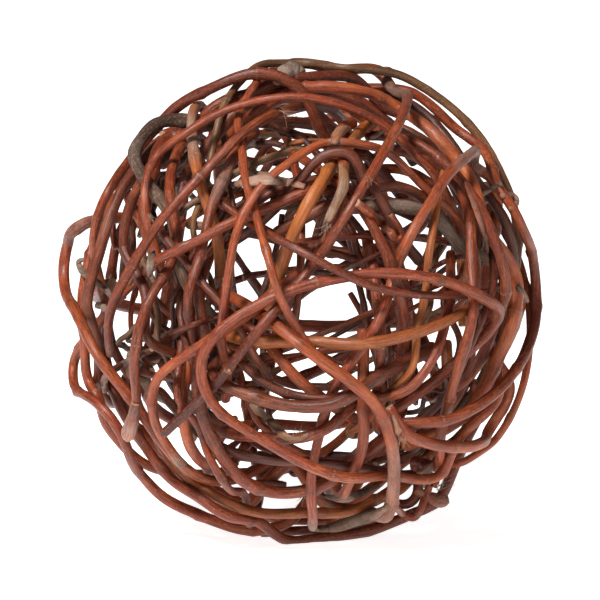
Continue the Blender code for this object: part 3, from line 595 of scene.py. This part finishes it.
gaps = [
    # openings that stay open: across, up, half their width, half their height
    (11, -3, 11, 7), (8, 73, 4, 3), (-20, 19, 3, 7), (-22, 2, 3, 5), (48, 57, 4, 3), (43, 33, 4, 4),
    (1, -31, 6, 4), (2, -52, 8, 6), (18, -46, 3, 3), (15, -62, 7, 5), (67, -38, 3, 8),
    (60, -22, 4, 5), (64, -13, 3, 3), (-35, -50, 4, 3), (-16, -63, 3, 2), (-6, -85, 9, 2),
    (-42, -66, 3, 3), (-39, -73, 2, 2), (44, -69, 3, 3), (31, -58, 2, 3), (-51, -81, 6, 4),
    (-56, -49, 2, 3), (87, -50, 3, 4), (93, -4, 4, 9), (91, 13, 4, 3), (-94, 13, 4, 15),
]
fillers = {
    "count": 56, "tries": 14, "lengths": (0.09, 0.22), "radii": (0.0011, 0.0019), "taper": 0.25,
    "step": 0.004, "resolution": 4, "treeEvery": 8,
    # cells of the front view: their size, how far out they reach, the share of a twig that covers
    "cell": 2, "span": 98, "rim": 93, "cover": 0.8, "gapRoom": 0.6,
    # courses: where they start, how steep they are, and where along them the cell lies
    "dome": 9000, "facing": (-1, -1, 1), "steepest": 25, "shift": (0.2, 0.8),
    # depth in the wall, and what it costs to leave the wished one, to bend and to touch
    "shallow": 0.090, "deep": 0.062, "levels": 15, "wish": 0.074, "clearance": 0.0003,
    "straying": 0.02, "bend": 0.35, "give": 0.0005, "touches": 2,
    "grey": (-1.5, 0.1), "greyReach": 0.03, "tone": (-0.9, 0.4),
    "slots": ("red_bark",) * 3 + ("dark_bark",) * 3 + ("olive_bark",),
}


def throughGap(across, up, room):
    inside = np.zeros(len(across), dtype=bool)
    for gapAcross, gapUp, halfWidth, halfHeight in gaps:
        offAcross = (across - gapAcross) ** 2 / (halfWidth + room) ** 2
        offUp = (up - gapUp) ** 2 / (halfHeight + room) ** 2
        inside |= offAcross + offUp < 1
    return inside


def cellsOf(line, radius, look):
    # the cells of the front view that a twig covers
    across, up, _ = seenAt(line)
    wide = radius / unitLength
    cells = set()
    for right, high in ((0, 0), (wide, 0), (-wide, 0), (0, wide), (0, -wide)):
        columns = np.floor((across + right * look["cover"]) / look["cell"]).astype(int)
        rows = np.floor((up + high * look["cover"]) / look["cell"]).astype(int)
        cells |= set(zip(columns.tolist(), rows.tolist()))
    return cells


def openCells(look):
    # cells that show white, although the photograph shows twigs there
    side = range(-look["span"] // look["cell"], look["span"] // look["cell"])
    cells = [(column, row) for column in side for row in side]
    across, up = ((np.array(cells) + 0.5) * look["cell"]).T
    covered = ~throughGap(across, up, 0.0) & (np.hypot(across, up) < look["rim"])
    wanted = {cell for cell, inside in zip(cells, covered) if inside}
    for line, wide in laidTwigs:
        wanted -= cellsOf(line, wide.mean(), look)
    return wanted


def wayThrough(cell, look):
    # directions from the ball's middle along a gently bending course through a cell
    across, up = ((index + 0.5) * look["cell"] for index in cell)
    depth = math.sqrt(max(1.0 - (across ** 2 + up ** 2) / look["dome"], 0.0))
    depth = depth * chance.choice(look["facing"])
    middle = Vector(across / 100 * toRight + up / 100 * toTop + depth * toViewer).normalized()
    heading = Vector([chance.gauss(0, 1) for _ in range(3)])
    side = middle.cross(heading).normalized()
    slope = math.radians(chance.uniform(-look["steepest"], look["steepest"]))
    axis = (math.cos(slope) * side + math.sin(slope) * middle).normalized()
    length = chance.uniform(*look["lengths"])
    steps = math.ceil(length / look["step"])
    shift = chance.uniform(*look["shift"])
    ways = []
    for i in range(steps + 1):
        turn = (i / steps - shift) * length / look["wish"] / math.cos(slope)
        ways.append(Quaternion(axis, turn) @ middle)
    return np.array(ways)


def makeTree():
    points = np.concatenate([line for line, _ in laidTwigs])
    tree = KDTree(len(points))
    for index, point in enumerate(points):
        tree.insert(point, index)
    tree.balance()
    return tree, np.concatenate([wide for _, wide in laidTwigs])


def threaded(ways, radius, tree, treeRadii, look):
    # the depth of every point, so that the twig passes under or over those already there
    levels = np.linspace(look["deep"], look["shallow"], look["levels"])
    spacing = levels[1] - levels[0]
    straying = look["straying"] * ((levels - look["wish"]) / spacing) ** 2
    numbers = np.arange(len(levels))
    bending = look["bend"] * (numbers[:, None] - numbers) ** 2
    blocked = np.zeros((len(ways), len(levels)))
    for i, way in enumerate(ways):
        for level, reach in enumerate(levels):
            _, index, distance = tree.find(ballMiddle + way * reach)
            lack = radius + treeRadii[index] + look["clearance"] - distance
            blocked[i, level] = max(lack / look["give"], 0.0) ** 2
    cost = blocked[0] + straying
    cameFrom = []
    for i in range(1, len(ways)):
        step = cost[:, None] + bending
        cameFrom.append(step.argmin(axis=0))
        cost = step.min(axis=0) + blocked[i] + straying
    picked = [int(cost.argmin())]
    for best in reversed(cameFrom):
        picked.append(int(best[picked[-1]]))
    picked.reverse()
    touched = sum(blocked[i, level] > 1 for i, level in enumerate(picked))
    return ballMiddle + ways * levels[picked][:, None], touched


def bestWay(radius, wanted, look):
    # of a few courses, the one that closes most of what is too open
    best = None
    for _ in range(look["tries"]):
        ways = wayThrough(chance.choice(sorted(wanted)), look)
        line = ballMiddle + ways * look["wish"]
        across, up, _ = seenAt(line)
        if throughGap(across, up, radius / unitLength * look["gapRoom"]).any():
            continue
        score = len(cellsOf(line, radius, look) & wanted) / len(ways)
        if best is None or score > best[0]:
            best = (score, ways)
    return best[1] if best else None


def layFiller(number, wanted, tree, treeRadii, look):
    radius = chance.uniform(*look["radii"])
    ways = bestWay(radius, wanted, look)
    if ways is None:
        return
    points, touched = threaded(ways, radius, tree, treeRadii, look)
    if touched > look["touches"]:
        return
    step = twigLook["step"]
    line = smoothLine(points[::2], step)
    along = lengthAlong(line)
    wide, knots = addKnots(radius * (1 - look["taper"] * along / along[-1]), along, twigLook)
    grey = chance.uniform(*look["grey"])
    grey = np.clip(grey + softNoise(len(line), step, look["greyReach"]), 0, 1)
    tone = chance.uniform(*look["tone"])
    tone = tone + twigLook["toneSwing"] * softNoise(len(line), step, twigLook["toneReach"])
    slot = chance.choice(look["slots"])
    finishTwig(f"inner_twig_{number:02d}", line, wide, look["resolution"], slot, tone, knots, grey)
    laidTwigs.append((line, wide))
    wanted -= cellsOf(line, radius, look)


wanted = openCells(fillers)
print("cells too open", len(wanted))
for number in range(fillers["count"]):
    if number % fillers["treeEvery"] == 0:
        tree, treeRadii = makeTree()
    layFiller(number, wanted, tree, treeRadii, fillers)
print("inner twigs laid", len(laidTwigs) - len(frame["nodes"]), "cells too open", len(wanted))

# Short ends, stubs, peeled strips and fibres, as seen from the front

stubs = [
    # name, slot, flatness, greyness, then (across, up, radius) along it
    ("grey_left_twig", "grey_bark", 1.0, 0.5,
     [(-88, 16, 0.9), (-92, 15, 1.2), (-91, 12, 1.4), (-86, 8, 1.4), (-80, 3, 1.4),
      (-76, -1, 1.3)]),
    ("knotted_side_twig", "dark_bark", 1.0, 0.0,
     [(-36, -9, 1.0), (-44, -11, 1.3), (-50, -14, 1.5), (-55, -17.5, 1.9), (-57, -20, 1.0)]),
    ("grey_tipped_twig", "dark_bark", 1.0, 0.25,
     [(-61, -21, 1.0), (-66, -23.5, 1.3), (-76, -29, 1.6), (-81, -34, 1.6), (-81, -39, 1.1)]),
    ("crown_knob", "grey_bark", 1.0, 0.9,
     [(-10, 89, 2.0), (-7, 92.5, 3.2), (-3, 94.5, 3.4), (1, 93, 2.2)]),
    ("foot_knob", "red_bark", 1.0, 0.35,
     [(48, -80, 1.8), (53, -82.5, 2.3), (57, -84, 2.9), (60, -84.3, 2.8), (62, -84, 1.4)]),
    ("left_foot_knob", "red_bark", 1.0, 0.35,
     [(-67.5, -43, 2.1), (-68.5, -48, 2.4), (-70, -53, 2.8), (-71, -56.5, 2.7), (-71.3, -58, 1.6)]),
    ("split_strip", "tan_bark", 0.30, 0.75,
     [(-29, 46.5, 1.4), (-22, 47.5, 2.3), (-13, 48.3, 2.5), (-5, 47.3, 2.1), (2, 45.5, 1.1)]),
    ("split_strip_upper", "tan_bark", 0.30, 0.75,
     [(-23, 52.5, 0.5), (-19, 51.5, 1.5), (-13, 50.0, 1.7), (-6, 48.2, 1.0)]),
    ("tan_crown_stub", "tan_bark", 0.8, 0.35,
     [(14, 63, 1.5), (15.5, 67, 2.3), (18, 69.5, 1.9), (20.5, 70, 0.8)]),
    ("orange_crown_stub", "tan_bark", 1.0, 0.0,
     [(21, 64, 1.8), (24, 68, 2.7), (28, 71, 2.6), (31, 72.5, 1.4)]),
    ("crown_sliver", "tan_bark", 0.4, 0.8, [(27, 65, 0.4), (31, 67, 1.3), (36, 70, 0.4)]),
    ("tan_thin_end", "tan_bark", 0.7, 0.1,
     [(-8, 62, 0.5), (-3, 64, 1.3), (4, 65, 1.2), (10, 64.5, 1.0)]),
    ("hanging_strip", "olive_bark", 0.5, 0.15,
     [(17, 55, 1.4), (18, 47, 2.3), (15, 39, 2.2), (11, 31, 1.5), (9, 27, 0.5)]),
    ("hairpin", "red_bark", 1.0, 0.0,
     [(23, 39, 1.8), (31, 33, 2.0), (37, 27, 1.9), (40, 24, 1.4), (41.5, 25, 1.1), (40, 30, 1.2),
      (37, 34, 1.0)]),
    ("right_small_twig", "grey_bark", 1.0, 0.4, [(74, 42, 1.0), (79, 45, 1.1), (83.5, 47.5, 1.3)]),
    ("right_hook", "tan_bark", 1.0, 0.5,
     [(83, 42, 0.9), (86.5, 43, 1.2), (89.5, 41.5, 1.4), (89, 38, 1.2), (86.5, 37, 0.8)]),
    ("right_gap_stub", "grey_bark", 1.0, 0.2, [(89.5, 5, 1.3), (92, 2, 1.5), (94, -1, 1.2)]),
    ("thin_right_curve", "dark_bark", 1.0, 0.0,
     [(52, 10, 0.9), (56, 13, 1.1), (62, 16, 1.1), (69, 17.5, 0.9)]),
    ("pale_left_strip", "grey_bark", 0.35, 1.0, [(-60, 19, 0.8), (-61, 15, 2.4), (-62, 9, 0.9)]),
    ("grey_left_end", "grey_bark", 1.0, 0.8, [(-84, -3, 1.6), (-81, -4, 1.4), (-78, -7, 1.0)]),
    ("low_tan_stub", "tan_bark", 0.8, 0.6, [(49, -73, 1.4), (52, -71.5, 2.0), (55, -69.5, 1.5)]),
    ("low_peeled_strip", "grey_bark", 0.75, 0.25,
     [(36, -86, 1.2), (30, -90, 3.0), (22, -93, 3.4), (14, -95.5, 3.0), (7, -96.5, 0.9)]),
    ("low_grey_strip", "grey_bark", 0.7, 0.4,
     [(8, -82, 0.8), (16, -83, 2.0), (26, -81, 2.4), (33, -78, 1.2)]),
    ("split_end", "tan_bark", 0.6, 0.4,
     [(38, -48, 0.7), (40, -54, 1.5), (42, -58, 1.0), (43, -60, 0.3)]),
    ("scar", "tan_bark", 0.5, 0.5, [(-31.2, -27.3, 0.5), (-30, -28.5, 1.2), (-28.8, -29.7, 0.5)]),
    ("low_short_twig", "red_bark", 1.0, 0.0,
     [(54, -78, 1.5), (51, -86, 1.7), (47, -91.5, 1.6), (43, -90, 1.5), (39, -86, 1.4)]),
    ("right_fibrous_strip", "red_bark", 0.5, 0.35,
     [(68, 48, 0.8), (71, 40, 1.7), (74, 32, 1.9), (77, 22, 1.3), (78, 16, 0.5)]),
    ("inner_low_strip", "olive_bark", 0.35, 0.15,
     [(-19, -44, 1.8), (-16, -47.5, 2.6), (-12, -51, 2.7), (-7, -56, 2.1), (-1, -57.8, 1.4),
      (3.5, -55.5, 0.6)]),
]
stubLook = {
    "resolution": 5, "step": 0.6, "spacing": 0.0014, "rough": 0.16, "roughReach": 0.0025,
    "tone": 0.4, "toneReach": 0.02, "grey": 0.25, "greyReach": 0.006,
    "deepest": 30, "over": 0.5, "bridge": 6, "lift": 0.3,
    # how far the middles of some knobs lie above the twigs under them, in radii, instead of "lift"
    "sunken": {"left_foot_knob": -0.9, "foot_knob": -0.4, "crown_knob": -1.6},
}


def restingDepth(across, up, radius, look):
    # how near to the viewer a small piece lies when it rests on the twigs in front
    nearest = -1.0
    for line, wide, lineAcross, lineUp, toward in seenTwigs:
        off = np.hypot(lineAcross - across, lineUp - up) * unitLength
        over = off < wide + radius * look["over"]
        if over.any():
            nearest = max(nearest, float((toward + wide)[over].max()))
    inside = (1 - look["deepest"] / 100) ** 2 - (across ** 2 + up ** 2) / 100 ** 2
    return max(nearest, math.sqrt(max(inside, 0.0)) * view["radius"])


def laidLine(points, lift, look):
    # lays a course on the twigs in front, bridging the hollows between them
    seen = smoothLine(points, look["step"])
    wide = seen[:, 2] * unitLength
    depths = [restingDepth(across, up, radius, look) for (across, up, _), radius in zip(seen, wide)]
    bridge = look["bridge"]
    padded = np.concatenate([np.full(bridge, depths[0]), depths, np.full(bridge, depths[-1])])
    eased = np.array([padded[i:i + 2 * bridge + 1].mean() for i in range(len(depths))])
    toward = eased + wide * lift
    flat = (seen[:, :1] * toRight + seen[:, 1:2] * toTop) * unitLength
    return ballMiddle + flat + toward[:, None] * toViewer, wide


def layStub(name, slot, flatness, greyness, points, look):
    line, wide = laidLine(points, look["sunken"].get(name, look["lift"]), look)
    spacing = look["spacing"]
    rough = look["rough"] * greyness * flatness
    wide = wide * (1 + rough * softNoise(len(line), spacing, look["roughReach"]))
    tone = look["tone"] * softNoise(len(line), spacing, look["toneReach"])
    grey = greyness + look["grey"] * softNoise(len(line), spacing, look["greyReach"])
    finishTwig("bit_" + name, line, wide, look["resolution"], slot, tone,
               np.zeros(len(line)), np.clip(grey, 0, 1), flatness)


frays = [
    # name, slot, across, up, heading in degrees, spread, length, count
    ("crown_fibres", "tan_bark", -8, 78, -30, 35, 9, 10),
    ("strip_fibres", "grey_bark", -19, 52, 100, 40, 6, 14),
    ("strip_low_fibres", "tan_bark", -26, 47, 230, 40, 5, 8),
    ("foot_fibres", "grey_bark", 58, -79, 50, 45, 7, 16),
    ("low_fibres", "tan_bark", 2, -83, 250, 50, 6, 8),
    ("hanging_fibres", "grey_bark", 12, 30, 250, 35, 9, 10),
    ("split_fibres", "tan_bark", 42, -57, 280, 30, 6, 7),
    ("crossbar_fibres", "grey_bark", 30, 41, 190, 30, 7, 8),
    ("right_fibres", "grey_bark", 76, 20, 265, 25, 8, 8),
    ("arch_fibres", "tan_bark", 27, 50, 300, 50, 6, 8),
    ("inner_fibres", "tan_bark", -2, -56, 20, 40, 6, 8),
    ("left_fibres", "grey_bark", -62, 34, 285, 35, 8, 8),
]
frayLook = {
    "points": 7, "resolution": 1, "radius": 0.00014, "thickness": (0.7, 1.6), "tip": 0.35,
    "curl": 0.5, "reach": (0.5, 1.1), "lift": (-0.2, 0.6), "root": 1.2, "tone": 0.8, "grey": 0.5,
}


def layFray(name, slot, across, up, heading, spread, length, count, look):
    # a tuft of thin fibres that curl away from one place
    lines = []
    toward = restingDepth(across, up, unitLength, stubLook)
    for _ in range(count):
        way = math.radians(heading + chance.uniform(-spread, spread))
        curl = chance.uniform(-look["curl"], look["curl"])
        reach = length * chance.uniform(*look["reach"]) * unitLength
        lift = chance.uniform(*look["lift"])
        start = np.array([chance.uniform(-1, 1), chance.uniform(-1, 1)]) * look["root"] * unitLength
        line = []
        for share in np.linspace(0, 1, look["points"]):
            turn = way + curl * share
            x = across * unitLength + start[0] + math.cos(turn) * reach * share
            y = up * unitLength + start[1] + math.sin(turn) * reach * share
            depth = toward + lift * reach * share ** 2
            line.append(ballMiddle + x * toRight + y * toTop + depth * toViewer)
        lines.append(np.array(line))
    taper = np.linspace(1.0, look["tip"], look["points"])
    radii = [taper * look["radius"] * chance.uniform(*look["thickness"]) for _ in lines]
    mesh = tubeMesh("bit_" + name, lines, radii, look["resolution"])
    spots = readSpots(mesh)
    writeSpots(mesh, spots)
    even = np.ones(len(spots))
    giveBark(mesh, slot, spots, look["tone"] * even, 0 * even, look["grey"] * even)
    addPiece("bit_" + name, mesh)


seenTwigs = [(line, wide, *seenAt(line)) for line, wide in laidTwigs]
for stub in stubs:
    layStub(*stub, stubLook)
for fray in frays:
    layFray(*fray, frayLook)
print("stubs and fibres laid", len(stubs), len(frays))

# Floor, light and camera

studio = {
    "floor": 30.0, "floorGrey": 0.9, "floorRough": 0.9, "floorGlow": 0.86, "world": 0.15,
    "aim": (0.0, 0.0, 0.1),
    "lights": [  # name, place, power, size, tint
        ("key", (-0.7, -1.1, 1.5), 57.0, 0.42, (1.0, 0.98, 0.95)),
        ("fill", (1.3, -1.0, 0.6), 3.0, 1.2, (0.97, 0.98, 1.0)),
    ],
}


def makeFloor(look):
    mesh = bpy.data.meshes.new("floor")
    bm = bmesh.new()
    bmesh.ops.create_grid(bm, x_segments=1, y_segments=1, size=look["floor"])
    bm.to_mesh(mesh)
    bm.free()
    floor = bpy.data.objects.new("floor", mesh)
    bpy.context.scene.collection.objects.link(floor)
    paper = bpy.data.materials.new("paper")
    paper.use_nodes = True
    shader = paper.node_tree.nodes["Principled BSDF"]
    shader.inputs["Base Color"].default_value = (*[look["floorGrey"]] * 3, 1.0)
    shader.inputs["Roughness"].default_value = look["floorRough"]
    shader.inputs["Emission Color"].default_value = (1.0, 1.0, 1.0, 1.0)
    shader.inputs["Emission Strength"].default_value = look["floorGlow"]
    mesh.materials.append(paper)


def addLight(name, place, power, size, tint, aim):
    data = bpy.data.lights.new(name, "AREA")
    data.energy = power
    data.size = size
    data.color = tint
    lamp = bpy.data.objects.new(name, data)
    lamp.location = place
    lamp.rotation_euler = (Vector(aim) - Vector(place)).to_track_quat("-Z", "Y").to_euler()
    bpy.context.scene.collection.objects.link(lamp)


def makeCamera():
    lens = bpy.data.cameras.new("camera")
    lens.sensor_width = view["sensor"]
    lens.lens = lens.sensor_width * view["distance"] / view["width"]
    lens.clip_end = view["clipEnd"]
    camera = bpy.data.objects.new("camera", lens)
    target = ballMiddle - toTop * view["drop"] * unitLength
    camera.location = target + toViewer * view["distance"]
    camera.rotation_euler = Vector(-toViewer).to_track_quat("-Z", "Y").to_euler()
    bpy.context.scene.collection.objects.link(camera)
    bpy.context.scene.camera = camera


def makeStudio(look):
    makeFloor(look)
    world = bpy.data.worlds.new("studio")
    world.use_nodes = True
    background = world.node_tree.nodes["Background"]
    background.inputs["Color"].default_value = (1.0, 1.0, 1.0, 1.0)
    background.inputs["Strength"].default_value = look["world"]
    bpy.context.scene.world = world
    for light in look["lights"]:
        addLight(*light, look["aim"])
    bpy.context.scene.view_settings.view_transform = "Standard"


makeStudio(studio)
makeCamera()
print("studio set up")
